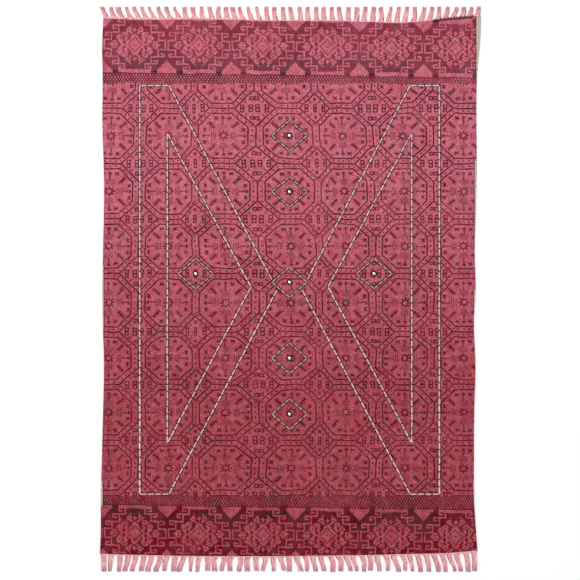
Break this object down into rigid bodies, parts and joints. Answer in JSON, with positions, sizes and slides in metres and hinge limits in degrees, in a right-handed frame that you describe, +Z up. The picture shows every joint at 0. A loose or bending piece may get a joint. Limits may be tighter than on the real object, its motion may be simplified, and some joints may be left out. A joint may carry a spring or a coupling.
{
  "type": "dhurrie rug",
  "caption": "Flat-woven cotton rug, block printed and overdyed rose, with outlines stitched in pale yarn, small sewn mirrors and a fringe at both ends.",
  "frame": {"origin": "the middle of the rug's underside, fringes included, on the surface that it lies on", "axes": "+Z up out of the printed face, +Y along the length towards the top of the picture, +X to the picture's right"},
  "size_m": [1.2192, 1.8121, 0.0061],
  "materials": {
    "cloth": "flat-woven cotton, block printed and overdyed rose, matt",
    "fringe": "plied cotton warp ends dyed light pink, matt",
    "yarn": "thick pale yarn in long stitches, matt",
    "mirror": "small silvered disc",
    "dark_thread": "near-black cotton thread, matt"
  },
  "bodies": {
    "root": {"woven_cloth": "cloth", "fringe_top": "fringe", "fringe_bottom": "fringe", "stitched_figure_left": "yarn", "stitched_figure_right": "yarn", "stitched_triangle_left": "yarn", "stitched_triangle_right": "yarn", "stitched_diamond_1": "yarn", "stitched_diamond_2": "yarn", "stitched_diamond_3": "yarn", "stitched_diamond_4": "yarn", "stitched_diamond_5": "yarn", "stitched_diamond_6": "yarn", "stitched_diamond_7": "yarn", "mirror_1": "mirror", "mirror_2": "mirror", "mirror_3": "mirror", "mirror_4": "mirror", "mirror_5": "mirror", "mirror_6": "mirror", "mirror_7": "mirror", "thread_ring_1": "dark_thread", "thread_ring_2": "dark_thread", "thread_ring_3": "dark_thread", "thread_ring_4": "dark_thread", "thread_ring_5": "dark_thread", "thread_ring_6": "dark_thread", "thread_ring_7": "dark_thread"}
  },
  "joints": []
}
